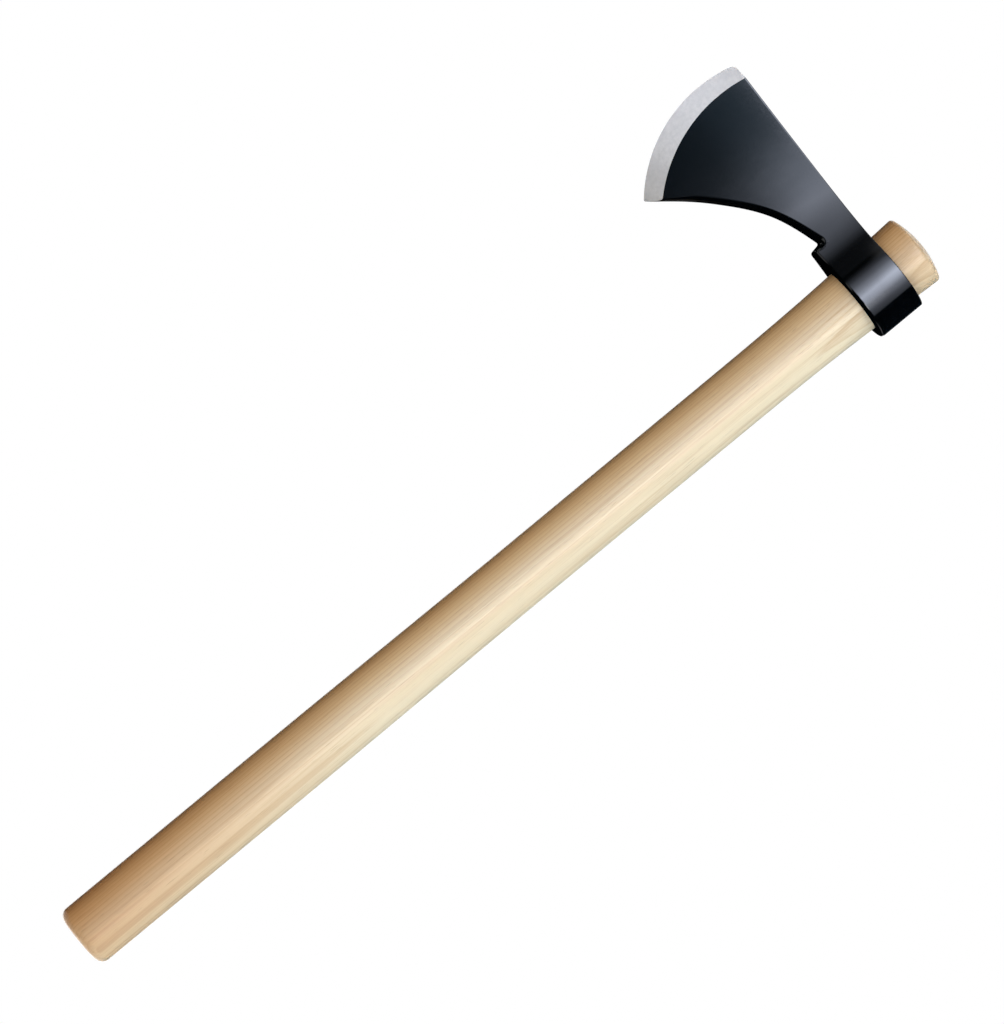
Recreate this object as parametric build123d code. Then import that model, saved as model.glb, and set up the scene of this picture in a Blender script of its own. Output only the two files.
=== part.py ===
from build123d import *
import os
from math import atan2, cos, hypot, radians, sin, sqrt, tan

# Slip-fit belt axe, units mm.
# Origin: centre of the butt end of the haft.  +Z runs up the haft to the head,
# +X points at the cutting edge, +Y and -Y are the two cheeks of the head.
# Three pieces: the wooden haft, the forged head that slides on it, and the set
# screw that locks the head through its -Y cheek.

# ---------------------------------------------------------------- dimensions

# Haft: round all the way, thinnest at the waist, swelling into the eye.
HAFT_LENGTH = 559.0          # 22 in
GRIP_RADIUS = 17.0           # straight cylinder held in the hand
GRIP_END_Z = 130.0           # where the straight grip stops
WAIST_RADIUS = 16.4
WAIST_LOW_Z = 290.0
WAIST_HIGH_Z = 385.0
SHOULDER_RADIUS = 16.65      # where the swell into the eye begins
SHOULDER_Z = 465.0
BUTT_ROUNDING = 5.0
TOP_DOME = 3.2               # height of the domed top end
TOP_ROUNDING = 2.0

# Eye: a tapered round socket, wider at the top so the head cannot fly off.
EYE_HEIGHT = 27.0
EYE_TOP_Z = 540.0
EYE_BOTTOM_Z = EYE_TOP_Z - EYE_HEIGHT
SOCKET_RADIUS_LOW = 17.92    # bore radius at the bottom of the eye
SOCKET_TAPER = 2.75          # degrees per side
SOCKET_GAP = 0.05            # radial gap between bore and wood
EYE_RADIUS = 23.5            # outside of the eye
POLL_X = -24.0               # back of the head
MOUTH_CHAMFER = 1.0

# Blade, seen from the side.  Heights are measured from the top of the eye.
EDGE_CENTRE = (57.4, EYE_TOP_Z - 17.7)
EDGE_RADIUS = 77.8
TOE_Z = EYE_TOP_Z + 4.2
HEEL_Z = EYE_TOP_Z - 77.0
TOP_RISE_X = 20.0            # where the top line starts to climb to the toe
TAB_X = 32.4                 # front of the tab under the neck
TAB_SLANT = 1.2              # the tab leans forward going up
NOTCH_Z = EYE_TOP_Z - 20.8   # roof of the notch behind the tab
NOTCH_ROUNDING = 2.0
UNDERSIDE = (                # points the hollow underside passes through
    (60.0, EYE_TOP_Z - 31.1),
    (84.0, EYE_TOP_Z - 50.1),
)

# Blade, seen from above: half thicknesses.
NECK_RADIUS = 80.0           # hollow between eye and cheek
CHEEK_RADIUS = 1300.0        # slight hollow along the cheek
CHEEK_END_X = 140.0
CHEEK_END_HALF = 2.45
CHEEK_END_SLOPE = 0.5        # degrees at the cutting edge

# Ground bevel: two cones round the centre of the cutting edge.
BEVEL_ANGLE = 14.5           # degrees per side
EDGE_LAND = 0.2              # blunt flat left on the very edge
BEVEL_START_X = 80.0         # nothing behind this is ground

# Rounding of the forging.
UNDERSIDE_ROUNDING = 2.2
TOP_EDGE_ROUNDING = 1.2
EYE_ROUNDING = 1.5

# Set screw, 1/4 in by 3/16 in, cup point, hex socket.
SCREW_RADIUS = 3.175
SCREW_LENGTH = 4.76
SCREW_GAP = 0.05             # radial gap in its hole
SCREW_WOOD_GAP = 0.17        # cup rim stays this far off the wood
SCREW_Z = EYE_BOTTOM_Z + EYE_HEIGHT / 2
SOCKET_FLATS = 3.175
SOCKET_DEPTH = 2.4
CUP_RADIUS = 1.6
CUP_DEPTH = 0.8
POINT_CHAMFER = 0.9
TAIL_CHAMFER = 0.35

OVERSHOOT = 5.0              # how far a cutting shape runs past what it cuts


def socket_radius(z):
    """Radius of the bore in the eye at height z."""
    return SOCKET_RADIUS_LOW + (z - EYE_BOTTOM_Z) * tan(radians(SOCKET_TAPER))


def wood_radius(z):
    """Radius of the haft where it fills the eye, and just above it."""
    return socket_radius(z) - SOCKET_GAP


# ---------------------------------------------------------------------- haft

def make_haft():
    """Turned profile spun round Z."""
    rim_z = HAFT_LENGTH - TOP_DOME
    rim_radius = wood_radius(rim_z)
    eye_direction = (sin(radians(SOCKET_TAPER)), cos(radians(SOCKET_TAPER)))
    dome_radius = (rim_radius**2 + TOP_DOME**2) / (2 * TOP_DOME)
    eye_foot = (wood_radius(EYE_BOTTOM_Z), EYE_BOTTOM_Z)
    rim = (rim_radius, rim_z)
    butt = (GRIP_RADIUS, 0)
    with BuildSketch(Plane.XZ) as profile:
        with BuildLine():
            Line((0, 0), butt)
            Line(butt, (GRIP_RADIUS, GRIP_END_Z))
            Spline(
                (GRIP_RADIUS, GRIP_END_Z),
                (WAIST_RADIUS, WAIST_LOW_Z),
                tangents=((0, 1), (0, 1)),
            )
            Line((WAIST_RADIUS, WAIST_LOW_Z), (WAIST_RADIUS, WAIST_HIGH_Z))
            Spline(
                (WAIST_RADIUS, WAIST_HIGH_Z),
                (SHOULDER_RADIUS, SHOULDER_Z),
                eye_foot,
                tangents=((0, 1), eye_direction),
            )
            Line(eye_foot, rim)
            RadiusArc(rim, (0, HAFT_LENGTH), -dome_radius)
            Line((0, HAFT_LENGTH), (0, 0))
        make_face()
        corners = profile.vertices()
        fillet(corners.sort_by_distance(Vector(*butt))[0], BUTT_ROUNDING)
        fillet(corners.sort_by_distance(Vector(*rim))[0], TOP_ROUNDING)
    return revolve(profile.sketch, axis=Axis.Z)


# ---------------------------------------------------------------------- head

def edge_point(z):
    """Point of the cutting edge at height z."""
    centre_x, centre_z = EDGE_CENTRE
    return (centre_x + sqrt(EDGE_RADIUS**2 - (z - centre_z) ** 2), z)


def side_outline():
    """Outline of the whole head, seen from the cheek."""
    toe = edge_point(TOE_Z)
    heel = edge_point(HEEL_Z)
    edge_middle = (EDGE_CENTRE[0] + EDGE_RADIUS, EDGE_CENTRE[1])
    tab_foot = (TAB_X, EYE_BOTTOM_Z)
    notch = (TAB_X + TAB_SLANT, NOTCH_Z)
    behind = POLL_X - OVERSHOOT
    with BuildSketch(Plane.XZ) as sketch:
        with BuildLine():
            Line((behind, EYE_BOTTOM_Z), tab_foot)
            Line(tab_foot, notch)
            Spline(notch, *UNDERSIDE, heel)
            ThreePointArc(heel, edge_middle, toe)
            Line(toe, (TOP_RISE_X, EYE_TOP_Z))
            Line((TOP_RISE_X, EYE_TOP_Z), (behind, EYE_TOP_Z))
            Line((behind, EYE_TOP_Z), (behind, EYE_BOTTOM_Z))
        make_face()
        corner = sketch.vertices().sort_by_distance(Vector(*notch))[0]
        fillet(corner, NOTCH_ROUNDING)
    return sketch.sketch


def plan_outline():
    """Outline of the whole head, seen from above: eye, neck hollow, cheeks."""
    eye_x = POLL_X + EYE_RADIUS
    slope = radians(CHEEK_END_SLOPE)
    cheek_x = CHEEK_END_X + CHEEK_RADIUS * sin(slope)
    cheek_y = CHEEK_END_HALF + CHEEK_RADIUS * cos(slope)
    # Centre of the neck arc: outside the eye circle, inside the cheek circle.
    from_eye = EYE_RADIUS + NECK_RADIUS
    from_cheek = CHEEK_RADIUS - NECK_RADIUS
    span_x = cheek_x - eye_x
    span = hypot(span_x, cheek_y)
    along = (from_eye**2 - from_cheek**2 + span**2) / (2 * span)
    across = sqrt(from_eye**2 - along**2)
    neck_x = eye_x + (along * span_x + across * cheek_y) / span
    neck_y = (along * cheek_y - across * span_x) / span
    # Tangent points at both ends of the neck arc, and its middle.
    eye_touch = (
        eye_x + EYE_RADIUS * (neck_x - eye_x) / from_eye,
        EYE_RADIUS * neck_y / from_eye,
    )
    cheek_touch = (
        cheek_x + CHEEK_RADIUS * (neck_x - cheek_x) / from_cheek,
        cheek_y + CHEEK_RADIUS * (neck_y - cheek_y) / from_cheek,
    )
    start = atan2(eye_touch[1] - neck_y, eye_touch[0] - neck_x)
    end = atan2(cheek_touch[1] - neck_y, cheek_touch[0] - neck_x)
    halfway = (start + end) / 2
    neck_middle = (
        neck_x + NECK_RADIUS * cos(halfway),
        neck_y + NECK_RADIUS * sin(halfway),
    )
    cheek_end = (CHEEK_END_X, CHEEK_END_HALF)
    with BuildSketch(Plane.XY) as sketch:
        with BuildLine():
            RadiusArc((POLL_X, 0), eye_touch, EYE_RADIUS)
            ThreePointArc(eye_touch, neck_middle, cheek_touch)
            RadiusArc(cheek_touch, cheek_end, -CHEEK_RADIUS)
            Line(cheek_end, (CHEEK_END_X, 0))
            mirror(about=Plane.XZ)
        make_face()
    return sketch.sketch


def edges_where(shape, test):
    """Edges of the shape whose middle point passes the test."""
    return ShapeList(edge for edge in shape.edges() if test(edge @ 0.5))


def round_forging(blank):
    """Round the outer edges the way a drop forging comes out of its dies."""
    tab_x = TAB_X + TAB_SLANT
    heel_x = edge_point(HEEL_Z)[0]
    toe_x = edge_point(TOE_Z)[0]
    underside = edges_where(
        blank,
        lambda m: abs(m.Y) > 1 and m.Z < NOTCH_Z + 0.5 and tab_x < m.X < heel_x,
    )
    blank = fillet(underside, UNDERSIDE_ROUNDING)
    eye_foot = edges_where(blank, lambda m: m.Z < EYE_BOTTOM_Z + 0.1 and m.X < tab_x)
    blank = fillet(eye_foot, EYE_ROUNDING)
    top = edges_where(
        blank,
        lambda m: m.Z > EYE_TOP_Z - 0.1
        and m.X < toe_x - 1
        and (abs(m.Y) > 1 or m.X < POLL_X + 1),
    )
    return fillet(top, TOP_EDGE_ROUNDING)


def bevel_cutter():
    """Everything ground away from both cheeks along the cutting edge."""
    centre_x, centre_z = EDGE_CENTRE
    slope = tan(radians(BEVEL_ANGLE))
    apex = EDGE_RADIUS + EDGE_LAND / 2 / slope
    with BuildSketch(Plane.XY) as section:
        Polygon((0, apex * slope), (apex, 0), (0, -apex * slope), align=None)
    lens = Pos(centre_x, 0, centre_z) * revolve(section.sketch, axis=Axis.Y)
    reach = 4 * EDGE_RADIUS
    block = Box(reach, reach, reach, align=(Align.MIN, Align.CENTER, Align.CENTER))
    return Pos(BEVEL_START_X, 0, centre_z) * block - lens


def eye_socket():
    """Tapered bore with a chamfer at each mouth."""
    low = socket_radius(EYE_BOTTOM_Z)
    high = socket_radius(EYE_TOP_Z)
    bore = loft(
        [
            Pos(0, 0, EYE_BOTTOM_Z) * Circle(low),
            Pos(0, 0, EYE_TOP_Z) * Circle(high),
        ]
    )
    # Each mouth cone is centred on its end face and opens outwards.
    reach = 2 * MOUTH_CHAMFER
    bore += Pos(0, 0, EYE_BOTTOM_Z) * Cone(low + reach, low, reach)
    bore += Pos(0, 0, EYE_TOP_Z) * Cone(high, high + reach, reach)
    return bore


def screw_hole():
    """Straight hole through the -Y cheek."""
    hole = Cylinder(
        SCREW_RADIUS + SCREW_GAP,
        EYE_RADIUS + OVERSHOOT,
        align=(Align.CENTER, Align.CENTER, Align.MIN),
    )
    return Pos(0, 0, SCREW_Z) * Rot(90, 0, 0) * hole


def make_head():
    """Side outline and plan outline crossed, rounded, then ground and bored."""
    blank = extrude(side_outline(), amount=EYE_RADIUS + OVERSHOOT, both=True)
    plan = Pos(0, 0, HEEL_Z - OVERSHOOT) * plan_outline()
    blank &= extrude(plan, amount=TOE_Z - HEEL_Z + 2 * OVERSHOOT)
    return round_forging(blank) - bevel_cutter() - eye_socket() - screw_hole()


# ----------------------------------------------------------------- set screw

def make_set_screw():
    """Cup point towards +Y against the wood, hex socket facing -Y."""
    tip_y = -(wood_radius(SCREW_Z) + SCREW_WOOD_GAP)
    screw = Cylinder(
        SCREW_RADIUS, SCREW_LENGTH, align=(Align.CENTER, Align.CENTER, Align.MIN)
    )
    ends = screw.edges().filter_by(GeomType.CIRCLE).sort_by(Axis.Z)
    screw = chamfer(ends[0], POINT_CHAMFER)
    ends = screw.edges().filter_by(GeomType.CIRCLE).sort_by(Axis.Z)
    screw = chamfer(ends[-1], TAIL_CHAMFER)
    screw -= Cone(
        CUP_RADIUS, 0, CUP_DEPTH, align=(Align.CENTER, Align.CENTER, Align.MIN)
    )
    hexagon = RegularPolygon(SOCKET_FLATS / 2, 6, major_radius=False)
    socket = extrude(Pos(0, 0, SCREW_LENGTH) * hexagon, amount=-SOCKET_DEPTH)
    return Pos(0, tip_y, SCREW_Z) * Rot(90, 0, 0) * (screw - socket)


# -------------------------------------------------------------------- export

PIECES = {
    "haft": make_haft,
    "axe_head": make_head,
    "set_screw": make_set_screw,
}

os.makedirs("parts", exist_ok=True)
for name, make in PIECES.items():
    export_step(make(), f"parts/{name}.step")
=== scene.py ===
import math

import bmesh
import bpy
from mathutils import Matrix, Vector


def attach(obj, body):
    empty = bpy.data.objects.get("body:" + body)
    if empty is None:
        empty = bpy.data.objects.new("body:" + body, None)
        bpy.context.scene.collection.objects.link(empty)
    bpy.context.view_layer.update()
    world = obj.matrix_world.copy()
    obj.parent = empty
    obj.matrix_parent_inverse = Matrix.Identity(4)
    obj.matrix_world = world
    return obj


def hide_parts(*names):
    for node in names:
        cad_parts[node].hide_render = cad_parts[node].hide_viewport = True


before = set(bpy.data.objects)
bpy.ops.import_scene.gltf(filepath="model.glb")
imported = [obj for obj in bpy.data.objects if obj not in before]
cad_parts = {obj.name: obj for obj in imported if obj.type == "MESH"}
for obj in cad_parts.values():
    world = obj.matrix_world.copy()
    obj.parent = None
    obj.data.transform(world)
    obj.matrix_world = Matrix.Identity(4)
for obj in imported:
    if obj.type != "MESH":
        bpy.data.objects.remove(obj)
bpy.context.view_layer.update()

# Lengths are millimetres until a mesh is made.
MM = 0.001

# ---------------------------------------------------------------- dimensions

HAFT_LENGTH = 559.0
GRIP_RADIUS = 17.0
GRIP_END_Z = 130.0
WAIST_RADIUS = 16.4
WAIST_LOW_Z = 290.0
WAIST_HIGH_Z = 385.0
BUTT_ROUNDING = 5.0
TOP_DOME = 3.2
TOP_ROUNDING = 2.0

EYE_TOP_Z = 540.0
EYE_BOTTOM_Z = 513.0
SOCKET_RADIUS_LOW = 17.92
SOCKET_SLOPE = math.tan(math.radians(2.75))
SOCKET_GAP = 0.05
EYE_RADIUS = 23.5
POLL_X = -24.0
EYE_X = POLL_X + EYE_RADIUS
MOUTH_CHAMFER = 1.0

EDGE_X = 57.4
EDGE_Z = EYE_TOP_Z - 17.7
EDGE_RADIUS = 77.8
TOE_Z = EYE_TOP_Z + 4.2
HEEL_Z = EYE_TOP_Z - 77.0
TOP_RISE_X = 20.0
TAB_X = 32.4
TAB_SLANT = 1.2
NOTCH_Z = EYE_TOP_Z - 20.8
CORNER_REACH = 1.5           # length of outline bent at the tab's foot and at the notch
UNDERSIDE = (                # (x, z) the lower outline passes on its way to the heel
    (60.0, EYE_TOP_Z - 31.1),
    (84.0, EYE_TOP_Z - 50.1),
)

FLANK = (                    # (x, degrees of lean) from the eye circle to the cheek
    (10.9, 29.1),
    (21.25, 29.1),
    (27.25, 20.5),
    (36.75, 13.6),
    (48.75, 7.6),
    (53.5, 5.7),
    (58.0, 4.7),
    (66.0, 3.76),
)
FLANK_START = FLANK[0][0]
EYE_EASE = 3.0               # length over which the eye circle turns into the flank
CHEEK_RADIUS = 1300.0
CHEEK_END_X = 140.0
CHEEK_END_HALF = 2.45
CHEEK_END_SLOPE = 0.5        # degrees
EDGE_LAND = 0.1              # half width of the blunt line of the edge
BEVEL_LEAN = 0.26            # growth of that half width where a corner is rounded off

UNDERSIDE_ROUNDING = 3.1
HEEL_END_ROUNDING = 1.3
TAB_REACH = 2.0              # the rounding starts to grow here along the lower outline
TAB_EASE = 5.0               # and is full size after this much more
HEEL_EASE = 18.0             # length over which it shrinks again before the bevel
TOP_EDGE_ROUNDING = 0.4
EYE_ROUNDING = 1.8

SCREW_Z = (EYE_BOTTOM_Z + EYE_TOP_Z) / 2
SCREW_HOLE_RADIUS = 3.225
HOLE_BLOCK = 4.6             # reach of the patch of mesh that is rebuilt round the hole


def lerp(a, b, t):
    return a + (b - a) * t


def smooth(t):
    t = min(1.0, max(0.0, t))
    return t * t * (3 - 2 * t)


def socket_radius(z):
    return SOCKET_RADIUS_LOW + (z - EYE_BOTTOM_Z) * SOCKET_SLOPE


# --------------------------------------------------------------- mesh making

def new_object(name, verts, faces, material):
    """Mesh object from millimetre vertices, smooth shaded."""
    mesh = bpy.data.meshes.new(name)
    mesh.from_pydata([Vector(v) * MM for v in verts], [], faces)
    mesh.materials.append(material)
    for polygon in mesh.polygons:
        polygon.use_smooth = True
    mesh.validate()
    mesh.update()
    obj = bpy.data.objects.new(name, mesh)
    bpy.context.scene.collection.objects.link(obj)
    return obj


def revolve(profile, segments):
    """Vertices and faces of a profile of (radius, z) spun round Z, capped at r = 0."""
    verts, faces, rings = [], [], []
    for radius, z in profile:
        if radius < 1e-6:
            rings.append([len(verts)] * segments)
            verts.append((0, 0, z))
            continue
        ring = []
        for k in range(segments):
            angle = 2 * math.pi * k / segments
            ring.append(len(verts))
            verts.append((radius * math.cos(angle), radius * math.sin(angle), z))
        rings.append(ring)
    for low, high in zip(rings, rings[1:]):
        for k in range(segments):
            n = (k + 1) % segments
            corners = [low[k], low[n], high[n], high[k]]
            face = list(dict.fromkeys(corners))
            if len(face) > 2:
                faces.append(face)
    return verts, faces


# ---------------------------------------------------------------------- haft

def haft_radius(z):
    """Radius of the turned haft between the rounded butt and the rounded top."""
    if z <= GRIP_END_Z:
        return GRIP_RADIUS
    if z <= WAIST_LOW_Z:
        t = (z - GRIP_END_Z) / (WAIST_LOW_Z - GRIP_END_Z)
        return lerp(GRIP_RADIUS, WAIST_RADIUS, smooth(t))
    if z <= WAIST_HIGH_Z:
        return WAIST_RADIUS
    foot = socket_radius(EYE_BOTTOM_Z) - SOCKET_GAP
    if z <= EYE_BOTTOM_Z:
        # Level at the waist, at the slope of the eye taper where it goes in.
        span = EYE_BOTTOM_Z - WAIST_HIGH_Z
        t = (z - WAIST_HIGH_Z) / span
        swell = foot - WAIST_RADIUS
        power = span * SOCKET_SLOPE / swell
        return WAIST_RADIUS + swell * t**power
    return socket_radius(z) - SOCKET_GAP


def haft_profile():
    points = [(0.0, 0.0), (6.0, 0.0)]
    steps = 10
    for k in range(steps + 1):
        a = math.pi / 2 * k / steps
        points.append(
            (
                GRIP_RADIUS - BUTT_ROUNDING * (1 - math.sin(a)),
                BUTT_ROUNDING * (1 - math.cos(a)),
            )
        )
    rim_z = HAFT_LENGTH - TOP_DOME
    rim = haft_radius(rim_z)
    low, high = BUTT_ROUNDING, rim_z - TOP_ROUNDING
    rings = 110
    for k in range(1, rings):
        z = lerp(low, high, k / rings)
        points.append((haft_radius(z), z))
    # Rounded rim, then the shallow dome.
    dome = (rim**2 + TOP_DOME**2) / (2 * TOP_DOME)
    lean = math.asin(rim / dome)
    start, end = math.atan(SOCKET_SLOPE), math.pi / 2 - lean
    centre_r = haft_radius(high) - TOP_ROUNDING
    for k in range(steps + 1):
        a = lerp(-start, end, k / steps)
        points.append(
            (centre_r + TOP_ROUNDING * math.cos(a), high + TOP_ROUNDING * math.sin(a))
        )
    r_last, z_last = points[-1]
    for k in range(1, steps + 1):
        r = r_last * (1 - k / steps)
        z = HAFT_LENGTH - (HAFT_LENGTH - z_last) * (r / r_last) ** 2
        points.append((r, z))
    return points


def make_haft(material):
    verts, faces = revolve(haft_profile(), 128)
    obj = new_object("haft_wood", verts, faces, material)
    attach(obj, "haft")
    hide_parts("haft")
    return obj


# ---------------------------------------------------------------------- head

def flank_slope(x):
    """Slope of the side of the head seen from above, in front of the eye circle."""
    for (x0, lean0), (x1, lean1) in zip(FLANK, FLANK[1:]):
        if x <= x1:
            return math.tan(math.radians(lerp(lean0, lean1, max(0.0, (x - x0) / (x1 - x0)))))
    return math.tan(math.radians(CHEEK_END_SLOPE) + (CHEEK_END_X - x) / CHEEK_RADIUS)


def flank_table():
    """Half thickness every tenth of a millimetre, worked back from the cutting edge."""
    steps = int((CHEEK_END_X - FLANK_START) * 10)
    table = [CHEEK_END_HALF]
    for k in range(steps):
        x = CHEEK_END_X - (k + 0.5) / 10
        table.append(table[-1] + flank_slope(x) / 10)
    return table


FLANK_TABLE = flank_table()


def half_thickness(x):
    """Half the thickness of the forging in front of the middle of the eye."""
    eye = math.sqrt(max(0.0, EYE_RADIUS**2 - (x - EYE_X) ** 2))
    if x <= FLANK_START:
        return eye
    place = min(max((CHEEK_END_X - x) * 10, 0.0), len(FLANK_TABLE) - 1.001)
    k = int(place)
    flank = lerp(FLANK_TABLE[k], FLANK_TABLE[k + 1], place - k)
    ease = smooth((x - FLANK_START) / EYE_EASE)
    return lerp(eye, flank, ease)


def top_z(x):
    """Height of the top line of the head."""
    toe_x = EDGE_X + math.sqrt(EDGE_RADIUS**2 - (TOE_Z - EDGE_Z) ** 2)
    if x <= TOP_RISE_X:
        return EYE_TOP_Z
    return lerp(EYE_TOP_Z, TOE_Z, (x - TOP_RISE_X) / (toe_x - TOP_RISE_X))


def cubic(p, q, tangent_p, tangent_q, t):
    """Point of the cubic from p to q with the given end tangents."""
    return tuple(
        (2 * t**3 - 3 * t**2 + 1) * a
        + (t**3 - 2 * t**2 + t) * da
        + (3 * t**2 - 2 * t**3) * b
        + (t**3 - t**2) * db
        for a, b, da, db in zip(p, q, tangent_p, tangent_q)
    )


def curve_through(points, steps):
    """Smooth curve through the points, chord-length tangents."""
    spans = list(zip(points, points[1:]))
    chords = [math.dist(a, b) for a, b in spans]
    means = [[(b[i] - a[i]) / h for i in (0, 1)] for (a, b), h in zip(spans, chords)]
    slopes = [means[0]]
    for i in range(1, len(means)):
        share = chords[i - 1] / (chords[i - 1] + chords[i])
        slopes.append([lerp(a, b, share) for a, b in zip(means[i - 1], means[i])])
    slopes.append(means[-1])
    # Free ends: continue the bend of the neighbouring span.
    for end, near in ((0, 1), (-1, -2)):
        slopes[end] = [1.5 * a - 0.5 * b for a, b in zip(means[end], slopes[near])]
    out = [points[0]]
    for (p, q), h, slope_p, slope_q in zip(spans, chords, slopes, slopes[1:]):
        tangent_p = [v * h for v in slope_p]
        tangent_q = [v * h for v in slope_q]
        out += [cubic(p, q, tangent_p, tangent_q, k / steps) for k in range(1, steps + 1)]
    return out


class Path:
    """Polyline that can be asked for a point or a direction at any length along it."""

    def __init__(self, points):
        self.points = points
        self.runs = [0.0]
        for a, b in zip(points, points[1:]):
            self.runs.append(self.runs[-1] + math.dist(a, b))
        self.length = self.runs[-1]

    def at(self, s):
        s = min(max(s, 0.0), self.length)
        low, high = 0, len(self.runs) - 2
        while low < high:
            middle = (low + high + 1) // 2
            if self.runs[middle] <= s:
                low = middle
            else:
                high = middle - 1
        t = (s - self.runs[low]) / (self.runs[low + 1] - self.runs[low])
        a, b = self.points[low], self.points[low + 1]
        return (lerp(a[0], b[0], t), lerp(a[1], b[1], t))

    def direction(self, s, reach=0.25):
        a, b = self.at(s - reach), self.at(s + reach)
        size = math.dist(a, b)
        return ((b[0] - a[0]) / size, (b[1] - a[1]) / size)

    def rounded(self, corner_at, reach):
        """Copy whose corner at the given length is replaced by a round bend."""
        start, corner, end = (self.at(corner_at + shift) for shift in (-reach, 0.0, reach))
        points = [p for p, s in zip(self.points, self.runs) if s < corner_at - reach]
        for k in range(13):
            t = k / 12
            points.append(
                tuple(
                    (1 - t) ** 2 * start[a] + 2 * t * (1 - t) * corner[a] + t * t * end[a]
                    for a in (0, 1)
                )
            )
        points += [p for p, s in zip(self.points, self.runs) if s > corner_at + reach]
        return Path(points)


def straight(a, b, steps):
    return [(lerp(a[0], b[0], k / steps), lerp(a[1], b[1], k / steps)) for k in range(steps + 1)]


# The side surface of the head is one grid.  Columns run from the poll round
# the eye, through the neck and along the cheek to the crease of the bevel and
# on to the cutting edge.  Rows run from the lower outline to the upper one.
ROUND_STEPS = 8              # rows in each rounded border
FIELD_ROWS = 40              # rows between the rounded borders
FIELD_HOLD = 0.006           # share of the height between a rounding and the next row
EYE_COLUMNS = 64
NECK_COLUMNS = 30
TAB_COLUMNS = 48
CHEEK_COLUMNS = 90
BEVEL_COLUMNS = 12
ACROSS = 8                   # faces across the thickness on the upper and lower sides
TAB_STRETCH = 15.0           # length of the lower outline that holds the tab columns

EDGE_CENTRE = (EDGE_X, EDGE_Z)
TOE_ANGLE = math.asin((TOE_Z - EDGE_Z) / EDGE_RADIUS)
CREASE_CENTRE = (44.1, EYE_TOP_Z - 12.5)
CREASE_RADIUS = 81.1
TOE_ROUNDING = 2.6
HEEL_ROUNDING = 0.9

JOIN_X = 30.0                # the eye and neck columns end here and the blade columns start
TOP_END_X = 132.0            # the straight upper outline is drawn past the crease to here
EYE_TURN_X = 8.0             # columns turn from the eye circle to the neck here
ROWS = 2 * ROUND_STEPS + FIELD_ROWS
COLLAR_COLUMNS = EYE_COLUMNS + NECK_COLUMNS
BLADE_COLUMNS = TAB_COLUMNS + CHEEK_COLUMNS


def lower_path():
    """Lower outline from the join under the neck, round the tab, to the heel."""
    foot = (TAB_X, EYE_BOTTOM_Z)
    notch = (TAB_X + TAB_SLANT, NOTCH_Z)
    heel = (EDGE_X + math.sqrt(EDGE_RADIUS**2 - (HEEL_Z - EDGE_Z) ** 2), HEEL_Z)
    under = curve_through([notch, *UNDERSIDE, heel], 40)
    points = straight((JOIN_X, EYE_BOTTOM_Z), foot, 8)[:-1]
    points += straight(foot, notch, 16)[:-1]
    points += under
    to_foot = foot[0] - JOIN_X
    path = Path(points).rounded(to_foot, CORNER_REACH)
    runs = [math.dist(p, notch) for p in path.points]
    at_notch = path.runs[runs.index(min(runs))]
    return path.rounded(at_notch, CORNER_REACH)


def circle_hit(path, centre, radius):
    """Length along the path at which it leaves the circle."""
    low, high = 0.3 * path.length, path.length
    for _ in range(40):
        middle = (low + high) / 2
        if math.dist(path.at(middle), centre) < radius:
            low = middle
        else:
            high = middle
    return low


def field_share(j):
    """Height share of a row of the field; the outermost rows lie close to the roundings."""
    if j in (0, FIELD_ROWS):
        return j / FIELD_ROWS
    return lerp(FIELD_HOLD, 1.0 - FIELD_HOLD, (j - 1) / (FIELD_ROWS - 2))


def round_rows(radius_low, radius_high):
    """(inset from the outline, drop below the side surface) of every row."""
    out = []
    for k in range(ROUND_STEPS):
        a = math.pi / 2 * k / ROUND_STEPS
        out.append((radius_low * (1 - math.cos(a)), radius_low * (1 - math.sin(a))))
    out += [(None, 0.0)] * (FIELD_ROWS + 1)
    for k in range(1, ROUND_STEPS + 1):
        a = math.pi / 2 * k / ROUND_STEPS
        out.append((radius_high * (1 - math.sin(a)), radius_high * (1 - math.cos(a))))
    return out


def collar_column(i):
    """x, half thickness and outward direction of a column from the poll to the join."""
    eye_end = math.acos((EYE_TURN_X - EYE_X) / EYE_RADIUS)
    if i <= EYE_COLUMNS:
        a = lerp(math.pi, eye_end, i / EYE_COLUMNS)
        normal = (math.cos(a), math.sin(a))
        return EYE_X + EYE_RADIUS * normal[0], EYE_RADIUS * normal[1], normal
    # Insets turn to straight sideways by the join with the blade.
    turn = (i - EYE_COLUMNS) / NECK_COLUMNS
    x = lerp(EYE_TURN_X, JOIN_X, turn)
    level = smooth(turn)
    normal = (lerp(math.cos(eye_end), 0.0, level), lerp(math.sin(eye_end), 1.0, level))
    return x, half_thickness(x), normal


def collar_grid():
    """Columns from the poll to the join, each a list of row points, +Y side."""
    columns = []
    for i in range(COLLAR_COLUMNS + 1):
        x, y, normal = collar_column(i)
        low, high = EYE_BOTTOM_Z, top_z(x)
        column = []
        for j, (inset, drop) in enumerate(round_rows(EYE_ROUNDING, TOP_EDGE_ROUNDING)):
            if inset is None:
                t = field_share(j - ROUND_STEPS)
                z = lerp(low + EYE_ROUNDING, high - TOP_EDGE_ROUNDING, t)
            elif j < ROUND_STEPS:
                z = low + inset
            else:
                z = high - inset
            column.append((x - normal[0] * drop, y - normal[1] * drop, z))
        columns.append(column)
    return columns


def on_circle(centre, radius, angle):
    return (centre[0] + radius * math.cos(angle), centre[1] + radius * math.sin(angle))


def angle_of(centre, point):
    return math.atan2(point[1] - centre[1], point[0] - centre[0])


def corner_cut(distance, radius):
    """How far a rounded corner falls short, at this distance from its end."""
    if distance >= radius:
        return 0.0
    return radius - math.sqrt(radius**2 - (radius - distance) ** 2)


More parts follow.
